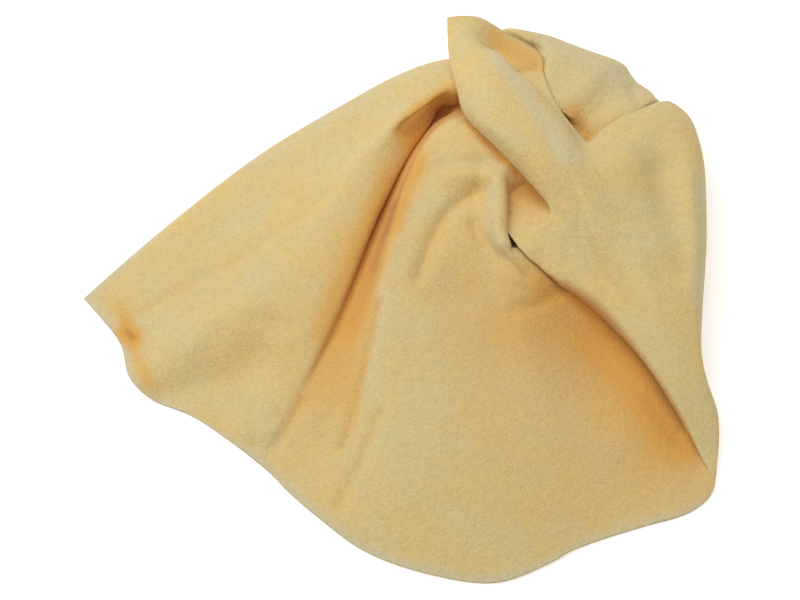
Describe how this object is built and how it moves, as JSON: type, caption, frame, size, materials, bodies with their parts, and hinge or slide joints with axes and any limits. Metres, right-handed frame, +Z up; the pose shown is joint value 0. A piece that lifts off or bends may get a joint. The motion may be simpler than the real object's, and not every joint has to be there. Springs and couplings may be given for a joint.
{
  "type": "chamois leather",
  "caption": "Soft oil-tanned leather skin for wiping and drying, gathered at the back into a twisted waist, with one side folded over, lying on a table.",
  "frame": {"origin": "on the table, under the middle of the skin's box", "axes": "+Z up from the table, the front hem towards -Y, the right fold and the flap on it towards +X"},
  "size_m": [0.4307, 0.4348, 0.076],
  "materials": {
    "chamois": "suede nap on both sides, oil tanned, undyed"
  },
  "bodies": {
    "root": {"chamois_leather": "chamois"}
  },
  "joints": []
}
